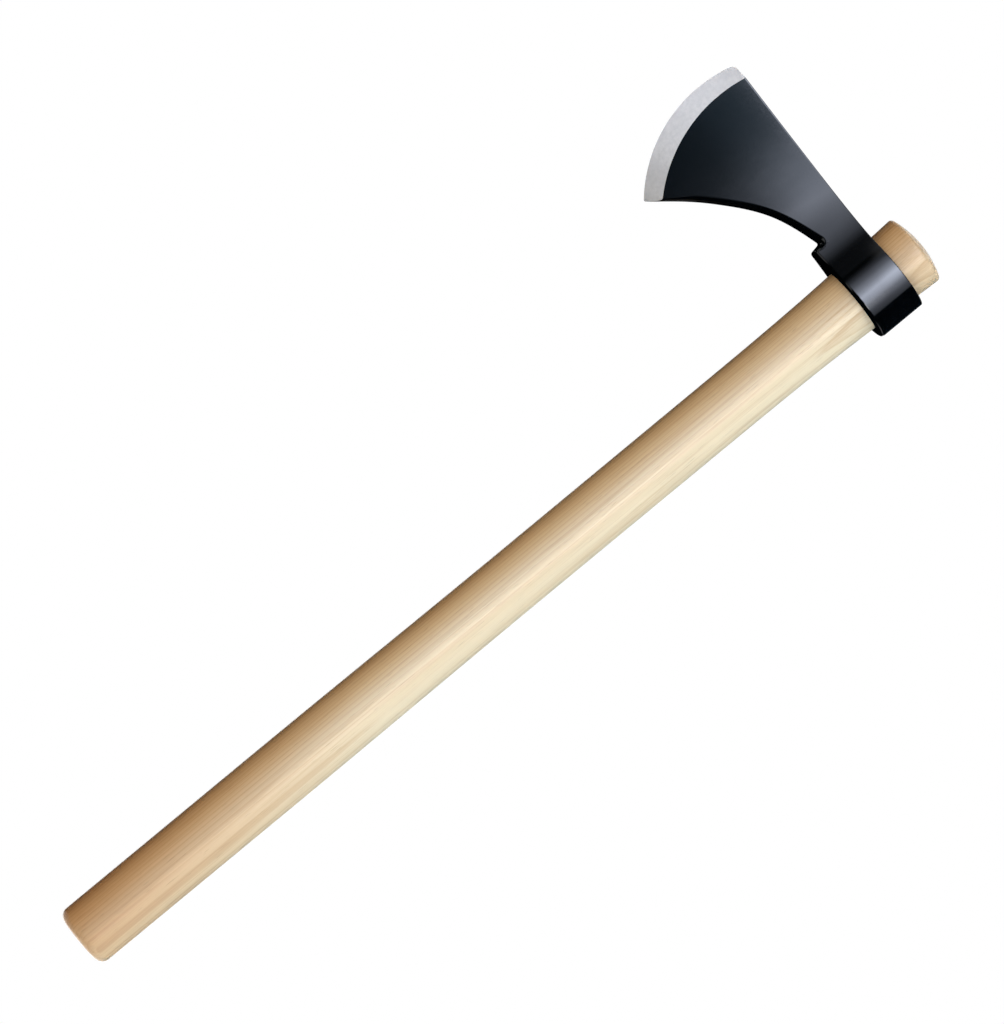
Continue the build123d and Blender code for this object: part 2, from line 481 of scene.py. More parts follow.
class BladeSide:
    """Side of the blade seen along Y, from the join to the crease of the bevel."""

    def __init__(self):
        self.lower = lower_path()
        self.crease_s = circle_hit(self.lower, CREASE_CENTRE, CREASE_RADIUS)
        # The upper outline is straight; share 1 is where the crease crosses it.
        self.upper = Path([(JOIN_X, top_z(JOIN_X)), (TOP_END_X, top_z(TOP_END_X))])
        self.top_s = circle_hit(self.upper, CREASE_CENTRE, CREASE_RADIUS)
        # Lengths along the lower outline of all columns up to the crease.
        self.lengths = [TAB_STRETCH * k / TAB_COLUMNS for k in range(TAB_COLUMNS)]
        for k in range(CHEEK_COLUMNS + 1):
            self.lengths.append(lerp(TAB_STRETCH, self.crease_s, k / CHEEK_COLUMNS))
        low = self.lower_point(self.crease_s, HEEL_END_ROUNDING)
        high = self.upper_point(1.0, TOP_EDGE_ROUNDING)
        self.crease_low = angle_of(CREASE_CENTRE, low)
        self.crease_high = angle_of(CREASE_CENTRE, high)

    def rounding(self, s):
        """Grows after the tab, shrinks towards the heel."""
        tab = smooth((s - TAB_REACH) / TAB_EASE)
        heel = smooth((s - self.crease_s + HEEL_EASE) / HEEL_EASE)
        return lerp(lerp(EYE_ROUNDING, UNDERSIDE_ROUNDING, tab), HEEL_END_ROUNDING, heel)

    def lower_point(self, s, inset):
        x, z = self.lower.at(s)
        dx, dz = self.lower.direction(s)
        return (x - dz * inset, z + dx * inset)

    def upper_point(self, share, inset):
        x, z = self.upper.at(share * self.top_s)
        return (x, z - inset)

    def field_point(self, s, v):
        """Point at height share v between the roundings; columns bow like the crease."""
        share = s / self.crease_s
        low = self.lower_point(s, self.rounding(s))
        high = self.upper_point(share, TOP_EDGE_ROUNDING)
        angles = (self.crease_low, self.crease_high, lerp(self.crease_low, self.crease_high, v))
        a, b, bow = (on_circle(CREASE_CENTRE, CREASE_RADIUS, angle) for angle in angles)
        return tuple(
            lerp(low[i], high[i], v) + share * (bow[i] - lerp(a[i], b[i], v)) for i in (0, 1)
        )

    def row(self, j, inset, drop):
        """Points of a row, and how far each lies below the plain side surface."""
        if inset is None:
            v = field_share(j - ROUND_STEPS)
            return [self.field_point(s, v) for s in self.lengths], [0.0] * len(self.lengths)
        points = []
        drops = []
        for s in self.lengths:
            if j < ROUND_STEPS:
                r = self.rounding(s)
                points.append(self.lower_point(s, inset * r / HEEL_END_ROUNDING))
                drops.append(drop * r / HEEL_END_ROUNDING)
            else:
                points.append(self.upper_point(s / self.crease_s, inset))
                drops.append(drop)
        return points, drops


def edge_of_row(j, inset, heel_angle):
    """Point of the cutting edge where a row ends, and half the edge's thickness there."""
    if inset is None:
        low = heel_angle + HEEL_END_ROUNDING / EDGE_RADIUS
        high = TOE_ANGLE - TOP_EDGE_ROUNDING / EDGE_RADIUS
        angle = lerp(low, high, field_share(j - ROUND_STEPS))
    elif j < ROUND_STEPS:
        angle = heel_angle + inset / EDGE_RADIUS
    else:
        angle = TOE_ANGLE - inset / EDGE_RADIUS
    cut = corner_cut((angle - heel_angle) * EDGE_RADIUS, HEEL_ROUNDING)
    cut += corner_cut((TOE_ANGLE - angle) * EDGE_RADIUS, TOE_ROUNDING)
    return on_circle(EDGE_CENTRE, EDGE_RADIUS - cut, angle), EDGE_LAND + cut * BEVEL_LEAN


def bevel_shift(start, edge_end, edge_half, drop):
    """How much later the ground face starts where the side surface drops away."""
    ground = half_thickness(start[0])
    t = 0.0
    for _ in range(4):
        x = lerp(start[0], edge_end[0], t)
        t = (ground - (half_thickness(x) - drop)) / (ground - edge_half)
    return t * math.dist(start, edge_end)


def moved_on(points, edge_end, shift):
    """Points of the front half of a row moved along it, the last by the whole shift."""
    way = Path(points + [edge_end])
    runs = way.runs[: len(points)]
    return [way.at(s + shift * smooth((s / runs[-1] - 0.5) / 0.5)) for s in runs]


def blade_grid():
    """Columns from the join to the cutting edge, +Y side."""
    side = BladeSide()
    heel_angle = angle_of(EDGE_CENTRE, side.lower.at(side.lower.length))
    rows = []
    for j, (inset, drop) in enumerate(round_rows(HEEL_END_ROUNDING, TOP_EDGE_ROUNDING)):
        edge_end, edge_half = edge_of_row(j, inset, heel_angle)
        points, drops = side.row(j, inset, drop)
        shift = bevel_shift(points[-1], edge_end, edge_half, drop)
        if shift > 0:
            points = moved_on(points, edge_end, shift)
        row = [(p[0], half_thickness(p[0]) - d, p[1]) for p, d in zip(points, drops)]
        crease, edge = row[-1], (edge_end[0], edge_half, edge_end[1])
        for k in range(1, BEVEL_COLUMNS + 1):
            row.append(tuple(lerp(a, b, k / BEVEL_COLUMNS) for a, b in zip(crease, edge)))
        rows.append(row)
    return [list(column) for column in zip(*rows)]


class Surface:
    """Collects patches of points into one mesh and remembers what each face is."""

    def __init__(self):
        self.verts = []
        self.faces = []
        self.tags = []

    def add(self, points, tag, closed=False):
        """Grid of points: a list of equally long lists."""
        base = len(self.verts)
        width = len(points[0])
        for line in points:
            self.verts.extend(line)
        for i in range(len(points) - 1):
            for j in range(width if closed else width - 1):
                n = (j + 1) % width
                a = base + i * width
                b = a + width
                self.faces.append((a + j, a + n, b + n, b + j))
                self.tags.append(tag)


PAINT, GROUND, EDGE, FLAT, MOUTH, BORE, HOLE = range(7)
SHARP_PAIRS = (
    (PAINT, GROUND),
    (GROUND, EDGE),
    (EDGE, FLAT),
    (GROUND, FLAT),
    (FLAT, MOUTH),
    (MOUTH, BORE),
)


def across(a, b):
    """Points from a to b through the thickness."""
    return [tuple(lerp(p, q, k / ACROSS) for p, q in zip(a, b)) for k in range(ACROSS + 1)]


def outer_ring(columns, flip, j):
    """One row all the way round the collar, closed across the join."""
    middle = across(columns[COLLAR_COLUMNS][j], flip[COLLAR_COLUMNS][j])[1:-1]
    ring = [columns[i][j] for i in range(COLLAR_COLUMNS + 1)] + middle
    return ring + [flip[i][j] for i in range(COLLAR_COLUMNS, 0, -1)]


def add_eye(surface, columns, flip):
    """Faces round the eye and both mouths; gives back the columns of the bore."""
    rings = [outer_ring(columns, flip, j) for j in (0, ROWS)]
    angles = [math.atan2(p[1], p[0]) for p in rings[0]]

    def circle(radius, z):
        return [(radius * math.cos(a), radius * math.sin(a), z) for a in angles]

    low_mouth = (socket_radius(EYE_BOTTOM_Z), EYE_BOTTOM_Z)
    high_mouth = (socket_radius(EYE_TOP_Z), EYE_TOP_Z)
    for ring, (radius, z), inward in ((rings[0], low_mouth, 1), (rings[1], high_mouth, -1)):
        lip = circle(radius + MOUTH_CHAMFER, z)
        halfway = [tuple((p + q) / 2 for p, q in zip(a, b)) for a, b in zip(ring, lip)]
        surface.add([ring, halfway, lip], FLAT, closed=True)
        throat = circle(radius, z + inward * MOUTH_CHAMFER)
        surface.add([lip, throat], MOUTH, closed=True)
    bore = []
    for k in range(FIELD_ROWS + 1):
        z = lerp(EYE_BOTTOM_Z + MOUTH_CHAMFER, EYE_TOP_Z - MOUTH_CHAMFER, k / FIELD_ROWS)
        radius = lerp(low_mouth[0], high_mouth[0], k / FIELD_ROWS)
        bore.append(circle(radius, z))
    bore_columns = [list(line) for line in zip(*bore)]
    return bore_columns + [bore_columns[0]]


def head_surface():
    columns = collar_grid()[:-1] + blade_grid()
    flip = [[(x, -y, z) for x, y, z in column] for column in columns]
    crease = COLLAR_COLUMNS + BLADE_COLUMNS
    surface = Surface()

    # Cheeks.  The block round the set screw hole is left out of the -Y cheek.
    block = hole_block(columns)
    surface.add(columns[: crease + 1], PAINT)
    add_with_gap(surface, flip[: crease + 1], PAINT, block)
    surface.add(columns[crease:], GROUND)
    surface.add(flip[crease:], GROUND)

    # The blunt line of the edge, then the upper and lower sides of the blade.
    surface.add([across(p, q) for p, q in zip(columns[-1], flip[-1])], EDGE)
    for j in (0, ROWS):
        strip = [across(columns[i][j], flip[i][j]) for i in range(COLLAR_COLUMNS, len(columns))]
        surface.add(strip, FLAT)

    add_hole(surface, flip, add_eye(surface, columns, flip), block)
    return surface


def hole_block(columns):
    """First and last column and row of the square of grid that holds the screw hole."""
    middle = ROWS // 2
    inside = [i for i in range(EYE_COLUMNS) if abs(columns[i][middle][0]) < HOLE_BLOCK]
    rows = [j for j in range(ROWS) if abs(columns[0][j][2] - SCREW_Z) < HOLE_BLOCK]
    return inside[0], inside[-1], rows[0], rows[-1]


def add_with_gap(surface, columns, tag, block):
    """Grid without the faces inside the block."""
    i0, i1, j0, j1 = block
    surface.add(columns[: i0 + 1], tag)
    surface.add(columns[i1:], tag)
    surface.add([column[: j0 + 1] for column in columns[i0 : i1 + 1]], tag)
    surface.add([column[j1:] for column in columns[i0 : i1 + 1]], tag)


def block_rim(columns, block):
    i0, i1, j0, j1 = block
    rim = [columns[i][j0] for i in range(i0, i1)]
    rim += [columns[i1][j] for j in range(j0, j1)]
    rim += [columns[i][j1] for i in range(i1, i0, -1)]
    rim += [columns[i0][j] for j in range(j1, j0, -1)]
    return rim


def add_hole(surface, cheek, bore_columns, block):
    """Bore grid with a gap, the hole through the -Y cheek and its wall."""
    i0, i1, j0, j1 = block
    # The bore ring runs round from the poll on +Y to the poll on -Y.
    total = len(bore_columns) - 1
    bore_block = (total - i1, total - i0, j0 - ROUND_STEPS, j1 - ROUND_STEPS)
    add_with_gap(surface, bore_columns, BORE, bore_block)
    outer_rim = block_rim(cheek, block)
    mirrored = [bore_columns[total - i] for i in range(total + 1)]
    inner_block = (i0, i1, bore_block[2], bore_block[3])
    inner_rim = block_rim(mirrored, inner_block)

    def wall_point(rim_point, radius, outside):
        dx, dz = rim_point[0], rim_point[2] - SCREW_Z
        size = math.hypot(dx, dz)
        x, z = radius * dx / size, SCREW_Z + radius * dz / size
        if outside:
            y = -math.sqrt(EYE_RADIUS**2 - (x - EYE_X) ** 2)
        else:
            y = -math.sqrt(socket_radius(z) ** 2 - x**2)
        return (x, y, z)

    def toward_hole(rim, outside, tag):
        lines = [rim]
        for t in (0.4, 0.75, 1.0):
            line = []
            for p in rim:
                reach = math.hypot(p[0], p[2] - SCREW_Z)
                line.append(wall_point(p, lerp(reach, SCREW_HOLE_RADIUS, t), outside))
            lines.append(line)
        surface.add(lines, tag, closed=True)
        return lines[-1]

    outer = toward_hole(outer_rim, True, PAINT)
    inner_target = [wall_point(p, SCREW_HOLE_RADIUS, False) for p in outer]
    lines = [inner_rim]
    for t in (0.4, 0.75, 1.0):
        line = []
        for p, q in zip(inner_rim, inner_target):
            x, z = lerp(p[0], q[0], t), lerp(p[2], q[2], t)
            line.append((x, -math.sqrt(socket_radius(z) ** 2 - x**2), z))
        lines.append(line)
    surface.add(lines, BORE, closed=True)
    wall = [
        [tuple(lerp(a, b, t / 6) for a, b in zip(p, q)) for p, q in zip(outer, lines[-1])]
        for t in range(7)
    ]
    surface.add(wall, HOLE, closed=True)


def make_head(paint, ground):
    surface = head_surface()
    mesh = bpy.data.meshes.new("head_forging")
    mesh.from_pydata([Vector(v) * MM for v in surface.verts], [], surface.faces)
    mesh.materials.append(paint)
    mesh.materials.append(ground)
    work = bmesh.new()
    work.from_mesh(mesh)
    kind = work.faces.layers.int.new("kind")
    work.faces.ensure_lookup_table()
    for face, tag in zip(work.faces, surface.tags):
        face[kind] = tag
        face.smooth = True
        face.material_index = 1 if tag in (GROUND, EDGE) else 0
    bmesh.ops.remove_doubles(work, verts=work.verts, dist=1e-7)
    bmesh.ops.dissolve_degenerate(work, edges=work.edges, dist=1e-8)
    bmesh.ops.recalc_face_normals(work, faces=work.faces)
    for edge in work.edges:
        pair = tuple(sorted(face[kind] for face in edge.link_faces))
        edge.smooth = not (pair in SHARP_PAIRS or (HOLE in pair and pair != (HOLE, HOLE)))
    work.to_mesh(mesh)
    work.free()
    obj = bpy.data.objects.new("head_forging", mesh)
    bpy.context.scene.collection.objects.link(obj)
    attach(obj, "head")
    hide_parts("axe_head")
    return obj


# ----------------------------------------------------------------- set screw

SCREW_RADIUS = 3.175
SCREW_LENGTH = 4.76
SCREW_WOOD_GAP = 0.17
SCREW_THREAD = 1.27          # pitch, 20 threads to the inch
SCREW_THREAD_DEPTH = 0.45
SOCKET_FLATS = 3.175
SOCKET_DEPTH = 2.4
CUP_RADIUS = 1.6
CUP_DEPTH = 0.8
POINT_CHAMFER = 0.9
TAIL_CHAMFER = 0.35
HEX_CHAMFER = 0.15
SOCKET_CONE = 0.3            # depth of the drill point under the hex
CENTRE_RADIUS = 0.02         # of the last ring, closed by a flat face
SCREW_SEGMENTS = 48


def hexagon_radius(angle):
    """Distance from the centre to the side of the hex socket in this direction."""
    third = math.pi / 3
    return SOCKET_FLATS / 2 / math.cos((angle + math.pi / 6) % third - math.pi / 6)


def screw_rings():
    """Rings of points from the middle of the cup round to the bottom of the socket."""
    rings = []

    def ring(radius_at, height):
        points = []
        for k in range(SCREW_SEGMENTS):
            a = 2 * math.pi * k / SCREW_SEGMENTS
            r = radius_at(a)
            points.append((r * math.cos(a), r * math.sin(a), height))
        rings.append(points)

    def thread(height):
        def radius(angle):
            turn = (height / SCREW_THREAD - angle / (2 * math.pi)) % 1.0
            crest = SCREW_RADIUS - SCREW_THREAD_DEPTH * abs(2 * turn - 1)
            point = SCREW_RADIUS - POINT_CHAMFER + height
            tail = SCREW_RADIUS - TAIL_CHAMFER + (SCREW_LENGTH - height)
            return min(crest, point, tail)

        return radius

    for share in (0.02, 0.5, 1.0):
        ring(lambda a: CUP_RADIUS * share, CUP_DEPTH * (1 - share))
    ring(lambda a: SCREW_RADIUS - POINT_CHAMFER, 0.0)
    steps = 44
    for k in range(1, steps):
        height = SCREW_LENGTH * k / steps
        ring(thread(height), height)
    ring(lambda a: SCREW_RADIUS - TAIL_CHAMFER, SCREW_LENGTH)
    ring(lambda a: hexagon_radius(a) + HEX_CHAMFER, SCREW_LENGTH)
    ring(hexagon_radius, SCREW_LENGTH - HEX_CHAMFER)
    ring(hexagon_radius, SCREW_LENGTH - SOCKET_DEPTH)
    ring(lambda a: CENTRE_RADIUS, SCREW_LENGTH - SOCKET_DEPTH - SOCKET_CONE)
    return rings


def make_set_screw(material):
    rings = screw_rings()
    verts = [point for ring in rings for point in ring]
    faces = []
    for i in range(len(rings) - 1):
        for k in range(SCREW_SEGMENTS):
            n = (k + 1) % SCREW_SEGMENTS
            a = i * SCREW_SEGMENTS
            b = a + SCREW_SEGMENTS
            faces.append((a + k, a + n, b + n, b + k))
    faces.append(list(range(SCREW_SEGMENTS)))
    last = (len(rings) - 1) * SCREW_SEGMENTS
    faces.append([last + k for k in range(SCREW_SEGMENTS)])
    # The point presses towards +Y, the socket faces -Y.
    tip = -(socket_radius(SCREW_Z) - SOCKET_GAP + SCREW_WOOD_GAP)
    verts = [(x, tip - z, SCREW_Z + y) for x, y, z in verts]
    obj = new_object("set_screw_steel", verts, faces, material)
    work = bmesh.new()
    work.from_mesh(obj.data)
    bmesh.ops.recalc_face_normals(work, faces=work.faces)
    for edge in work.edges:
        edge.smooth = edge.calc_face_angle(0.0) < math.radians(35)
    work.to_mesh(obj.data)
    work.free()
    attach(obj, "set_screw")
    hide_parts("set_screw")
    return obj


# ----------------------------------------------------------------- materials

class Nodes:
    """A material's node tree with short ways to add and join nodes."""

    def __init__(self, name):
        self.material = bpy.data.materials.new(name)
        self.material.use_nodes = True
        self.tree = self.material.node_tree
        self.shader = self.tree.nodes["Principled BSDF"]

    def add(self, kind, **settings):
        node = self.tree.nodes.new(kind)
        for key, value in settings.items():
            setattr(node, key, value)
        return node

    def join(self, output, target):
        self.tree.links.new(output, target)

    def feed(self, target, value):
        if isinstance(value, bpy.types.NodeSocket):
            self.join(value, target)
        else:
            target.default_value = value

    def place(self, scale, shift=(0.0, 0.0, 0.0)):
        """Object coordinates in metres, scaled."""
        coords = self.add("ShaderNodeTexCoord")
        mapping = self.add("ShaderNodeMapping")
        mapping.inputs["Scale"].default_value = scale
        mapping.inputs["Location"].default_value = shift
        self.join(coords.outputs["Object"], mapping.inputs["Vector"])
        return mapping.outputs["Vector"]

    def noise(self, vector, detail=2.0, roughness=0.5, distortion=0.0, scale=1.0):
        node = self.add("ShaderNodeTexNoise")
        node.inputs["Scale"].default_value = scale
        node.inputs["Detail"].default_value = detail
        node.inputs["Roughness"].default_value = roughness
        node.inputs["Distortion"].default_value = distortion
        self.join(vector, node.inputs["Vector"])
        return node.outputs["Fac"]

    def ramp(self, value, stops):
        """Colour ramp; stops are (position, colour or grey)."""
        node = self.add("ShaderNodeValToRGB")
        elements = node.color_ramp.elements
        while len(elements) < len(stops):
            elements.new(0.5)
        for element, (position, colour) in zip(elements, stops):
            element.position = position
            if not isinstance(colour, tuple):
                colour = (colour, colour, colour)
            element.color = (*colour, 1.0)
        self.join(value, node.inputs["Fac"])
        return node.outputs["Color"]

    def mix(self, factor, a, b, blend="MIX"):
        node = self.add("ShaderNodeMix", data_type="RGBA", blend_type=blend)
        self.feed(node.inputs[0], factor)
        for socket, value in ((node.inputs[6], a), (node.inputs[7], b)):
            if isinstance(value, tuple):
                value = (*value, 1.0)
            self.feed(socket, value)
        return node.outputs[2]

    def math(self, operation, a, b=0.0, clamp=False):
        node = self.add("ShaderNodeMath", operation=operation, use_clamp=clamp)
        self.feed(node.inputs[0], a)
        self.feed(node.inputs[1], b)
        return node.outputs[0]

    def spread(self, value, low, high, out_low, out_high, soft=False):
        node = self.add("ShaderNodeMapRange")
        node.interpolation_type = "SMOOTHSTEP" if soft else "LINEAR"
        node.inputs["From Min"].default_value = low
        node.inputs["From Max"].default_value = high
        node.inputs["To Min"].default_value = out_low
        node.inputs["To Max"].default_value = out_high
        self.join(value, node.inputs["Value"])
        return node.outputs["Result"]

    def axes(self, vector):
        node = self.add("ShaderNodeSeparateXYZ")
        self.join(vector, node.inputs[0])
        return node.outputs

    def bump(self, height, strength, distance):
        node = self.add("ShaderNodeBump")
        node.inputs["Strength"].default_value = strength
        node.inputs["Distance"].default_value = distance
        self.join(height, node.inputs["Height"])
        return node.outputs["Normal"]

    def surface(self, **inputs):
        for name, value in inputs.items():
            socket = self.shader.inputs[name.replace("_", " ")]
            if isinstance(value, tuple):
                value = (*value, 1.0)
            self.feed(socket, value)


PITH = (-0.046, 0.062)       # metres from the middle of the haft
RINGS_PER_METRE = 480.0


def growth_rings(n, x, y):
    """Rings round a pith that lies outside the haft, wandering a little."""
    wander = n.noise(n.place((22, 22, 3.0)), detail=2.0)
    wander = n.spread(wander, 0.3, 0.7, -0.0016, 0.0016)
    from_pith_x = n.math("ADD", n.math("ADD", x, -PITH[0]), wander)
    from_pith_y = n.math("ADD", n.math("ADD", y, -PITH[1]), n.math("MULTIPLY", wander, 0.7))
    squares = n.math(
        "ADD",
        n.math("MULTIPLY", from_pith_x, from_pith_x),
        n.math("MULTIPLY", from_pith_y, from_pith_y),
    )
    distance = n.math("SQRT", squares)
    phase = n.math("FRACT", n.math("MULTIPLY", distance, RINGS_PER_METRE))
    return n.ramp(phase, [(0.0, 0.0), (0.55, 0.12), (0.86, 0.75), (0.93, 1.0), (1.0, 0.0)])


def lacquered_hickory():
    """Pale straight-grained wood: growth rings, streaks and pores under clear lacquer."""
    n = Nodes("lacquered_hickory")
    x, y, z = n.axes(n.place((1, 1, 1)))
    ring = growth_rings(n, x, y)
    # Broad tone, long streaks and fine fibres.
    broad = n.noise(n.place((34, 34, 1.6)), detail=3.0)
    streak = n.noise(n.place((420, 420, 7.0)), detail=4.0, roughness=0.6)
    fibre = n.noise(n.place((1500, 1500, 26.0)), detail=3.0, roughness=0.65)
    base = n.ramp(
        broad, [(0.28, (0.68, 0.50, 0.31)), (0.52, (0.755, 0.60, 0.40)), (0.75, (0.815, 0.69, 0.50))]
    )
    tone = n.mix(n.spread(ring, 0, 1, 0.0, 0.38), base, (0.50, 0.285, 0.135))
    dark_streak = n.ramp(streak, [(0.30, 0.42), (0.46, 0.0)])
    tone = n.mix(dark_streak, tone, (0.50, 0.30, 0.15))
    tone = n.mix(n.ramp(streak, [(0.56, 0.0), (0.74, 0.45)]), tone, (0.86, 0.68, 0.46))
    tone = n.mix(n.ramp(fibre, [(0.30, 0.24), (0.50, 0.0)]), tone, (0.44, 0.26, 0.13))
    # Short dark pores.
    pore_noise = n.noise(n.place((2300, 2300, 95.0), (7, 3, 1)), detail=1.0)
    pores = n.ramp(pore_noise, [(0.245, 1.0), (0.31, 0.0)])
    tone = n.mix(n.spread(pores, 0, 1, 0.0, 0.35), tone, (0.26, 0.14, 0.07))
    # The haft is a little darker and warmer towards both ends.
    along = n.spread(z, 0.0, HAFT_LENGTH * MM, 0.0, 1.0)
    ends = [(0.0, 0.80), (0.17, 0.90), (0.34, 1.0), (0.93, 1.0), (0.97, 0.90)]
    shade = n.ramp(along, [(place, (v, v * v, v**3)) for place, v in ends])
    tone = n.mix(1.0, tone, shade, blend="MULTIPLY")
    relief = n.math("SUBTRACT", n.math("MULTIPLY", streak, 0.5), pores)
    n.surface(
        Base_Color=tone,
        Roughness=n.spread(fibre, 0.3, 0.7, 0.42, 0.56),
        Coat_Weight=0.40,
        Coat_Roughness=0.16,
        Normal=n.bump(relief, 0.18, 0.0002),
    )
    n.shader.inputs["Specular IOR Level"].default_value = 0.25
    lacquer = n.noise(n.place((260, 260, 60.0)), detail=2.0)
    n.join(n.bump(lacquer, 0.06, 0.0003), n.shader.inputs["Coat Normal"])
    return n.material


FULL_GLOSS = 0.5             # specular level of the paint
BLADE_CROWN_Z = 560.0
BLADE_CROWN = 1.0            # change of slope per metre
EYE_CROWN_Z = 528.0
EYE_CROWN = 1.75


def forged_crown(n):
    """Height of the gentle crown left by the dies, on the blade and on top of the eye."""
    x, y, z = n.axes(n.place((1, 1, 1)))
    lean = n.math("SUBTRACT", z, BLADE_CROWN_Z * MM)
    blade = n.math("MULTIPLY", n.math("MULTIPLY", lean, lean), -0.5 * BLADE_CROWN)
    over = n.math("MAXIMUM", n.math("SUBTRACT", z, EYE_CROWN_Z * MM), 0.0)
    eye = n.math("MULTIPLY", n.math("MULTIPLY", over, over), -0.5 * EYE_CROWN)
    forward = n.spread(x, 34.0 * MM, 60.0 * MM, 0.0, 1.0, soft=True)
    back = n.spread(x, 8.0 * MM, 26.0 * MM, 1.0, 0.0, soft=True)
    return n.math("ADD", n.math("MULTIPLY", blade, forward), n.math("MULTIPLY", eye, back))


def enamel_gloss(n):
    """Full, except that the underside and the blade's lower outline reflect nothing: painted shade
    that keeps them black.
    """
    facing = n.axes(n.add("ShaderNodeNewGeometry").outputs["Normal"])
    x = n.axes(n.place((1, 1, 1)))[0]
    # Beyond the collar, faces turned away from the sides and not upward, and all faces turned down,
    # reflect nothing: painted shade.
    sideways = n.spread(n.math("ABSOLUTE", facing[1]), 0.20, 0.45, 0.0, FULL_GLOSS)
    upward = n.spread(facing[2], 0.2, 0.5, 0.0, FULL_GLOSS)
    collar = n.spread(x, 27.0 * MM, 30.0 * MM, FULL_GLOSS, 0.0)
    glossy = n.math("MAXIMUM", n.math("MAXIMUM", sideways, upward), collar)
    return n.math("MINIMUM", glossy, n.spread(facing[2], -0.60, -0.35, 0.0, FULL_GLOSS))


def black_enamel():
    """Glossy black paint over a forged surface."""
    n = Nodes("black_enamel")
    peel = n.noise(n.place((330, 330, 330)), detail=2.0)
    hammer = n.noise(n.place((38, 38, 38)), detail=2.0)
    waves = n.math("ADD", n.math("MULTIPLY", peel, 0.000003), n.math("MULTIPLY", hammer, 0.00003))
    height = n.math("ADD", waves, forged_crown(n))
    dust = n.noise(n.place((2600, 2600, 2600)), detail=2.0)
    tone = n.ramp(hammer, [(0.3, (0.0003, 0.0005, 0.0007)), (0.7, (0.0006, 0.0009, 0.0013))])
    n.surface(
        Base_Color=tone,
        Roughness=n.spread(dust, 0.3, 0.7, 0.05, 0.09),
        Specular_IOR_Level=enamel_gloss(n),
        Normal=n.bump(height, 1.0, 1.0),
    )
    return n.material


def ground_steel():
    """Bare bevel: fine grinding marks across the edge and a satin mottle."""
    n = Nodes("ground_steel")
    x, y, z = n.axes(n.place((1, 1, 1)))
    dx = n.math("SUBTRACT", x, EDGE_X * MM)
    dz = n.math("SUBTRACT", z, EDGE_Z * MM)
    angle = n.math("ARCTAN2", dz, dx)
    reach = n.math("SQRT", n.math("ADD", n.math("MULTIPLY", dx, dx), n.math("MULTIPLY", dz, dz)))
    polar = n.add("ShaderNodeCombineXYZ")
    n.join(n.math("MULTIPLY", angle, EDGE_RADIUS * MM * 1900.0), polar.inputs[0])
    n.join(n.math("MULTIPLY", reach, 150.0), polar.inputs[1])
    n.join(n.math("MULTIPLY", y, 300.0), polar.inputs[2])
    marks = n.noise(polar.outputs[0], detail=3.0, roughness=0.6)
    mottle = n.noise(n.place((520, 520, 520)), detail=4.0, roughness=0.6)
    cloud = n.noise(n.place((75, 75, 75)), detail=2.0)
    tone = n.ramp(mottle, [(0.30, (0.57, 0.555, 0.53)), (0.70, (0.68, 0.66, 0.63))])
    tone = n.mix(n.ramp(cloud, [(0.40, 0.30), (0.62, 0.0)]), tone, (0.51, 0.50, 0.49))
    relief = n.math("ADD", n.math("MULTIPLY", marks, 0.8), n.math("MULTIPLY", mottle, 0.6))
    n.surface(
        Base_Color=tone,
        Metallic=0.6,
        Roughness=n.spread(mottle, 0.3, 0.7, 0.36, 0.50),
        Normal=n.bump(relief, 0.22, 0.0002),
    )
    return n.material


def blued_steel():
    """Dark oiled steel of the set screw."""
    n = Nodes("blued_steel")
    grime = n.noise(n.place((900, 900, 900)), detail=3.0)
    n.surface(
        Base_Color=n.ramp(grime, [(0.35, (0.035, 0.036, 0.040)), (0.7, (0.11, 0.11, 0.12))]),
        Metallic=1.0,
        Roughness=n.spread(grime, 0.3, 0.7, 0.30, 0.48),
        Normal=n.bump(grime, 0.15, 0.0001),
    )
    return n.material


# -------------------------------------------------------------------- camera

CAMERA_AT = (69.462, 2800.0, 197.194)
CAMERA_TO = (31.174, 0.0, 305.339)
CAMERA_ROLL = math.radians(50.446)
CAMERA_LENS = 192.27
SENSOR_WIDTH = 36.0


def add_camera():
    forward = (Vector(CAMERA_TO) - Vector(CAMERA_AT)).normalized()
    level = forward.cross(Vector((0, 0, 1))).normalized()
    upright = level.cross(forward)
    right = math.cos(CAMERA_ROLL) * level + math.sin(CAMERA_ROLL) * upright
    up = -math.sin(CAMERA_ROLL) * level + math.cos(CAMERA_ROLL) * upright
    data = bpy.data.cameras.new("camera")
    data.lens = CAMERA_LENS
    data.sensor_width = SENSOR_WIDTH
    data.sensor_fit = "AUTO"
    data.clip_end = 20.0
    camera = bpy.data.objects.new("camera", data)
    bpy.context.scene.collection.objects.link(camera)
    turn = Matrix((right, up, -forward)).transposed().to_4x4()
    camera.matrix_world = Matrix.Translation(Vector(CAMERA_AT) * MM) @ turn
    bpy.context.scene.camera = camera


# -------------------------------------------------------------------- studio

REFLECTED = (                # what the paint mirrors: (degrees towards +X, brightness)
    (-63.5, 0.0),
    (-62.0, 0.70),
    (-48.0, 1.50),
    (-32.0, 3.90),
    (-17.0, 9.40),
    (-5.0, 12.0),
    (12.0, 5.60),
    (27.0, 2.40),
    (42.0, 0.75),
    (52.0, 0.15),
    (60.0, 0.0),
)
DIFFUSE = (                  # what lights the wood: (degrees towards +X, colour)
    (-98.0, (14.2, 13.2, 11.7)),
    (-74.0, (1.10, 1.95, 2.60)),
    (-50.0, (0.05, 0.30, 0.90)),
    (-35.0, (0.10, 0.60, 1.40)),
    (-15.0, (0.60, 1.30, 1.50)),
    (-2.0, (3.55, 2.80, 1.75)),
    (12.0, (2.60, 1.65, 0.90)),
    (26.0, (0.05, 0.03, 0.02)),
    (90.0, (0.02, 0.014, 0.01)),
)
BRIGHTEST = 16.0             # the ramps hold shares of this
BLACK = (0.0, 0.0, 0.0)
PAINT_TINT = (0.83, 0.90, 1.08)
CARD_AZIMUTH = 3.7
CARD_HEIGHT = -1.0
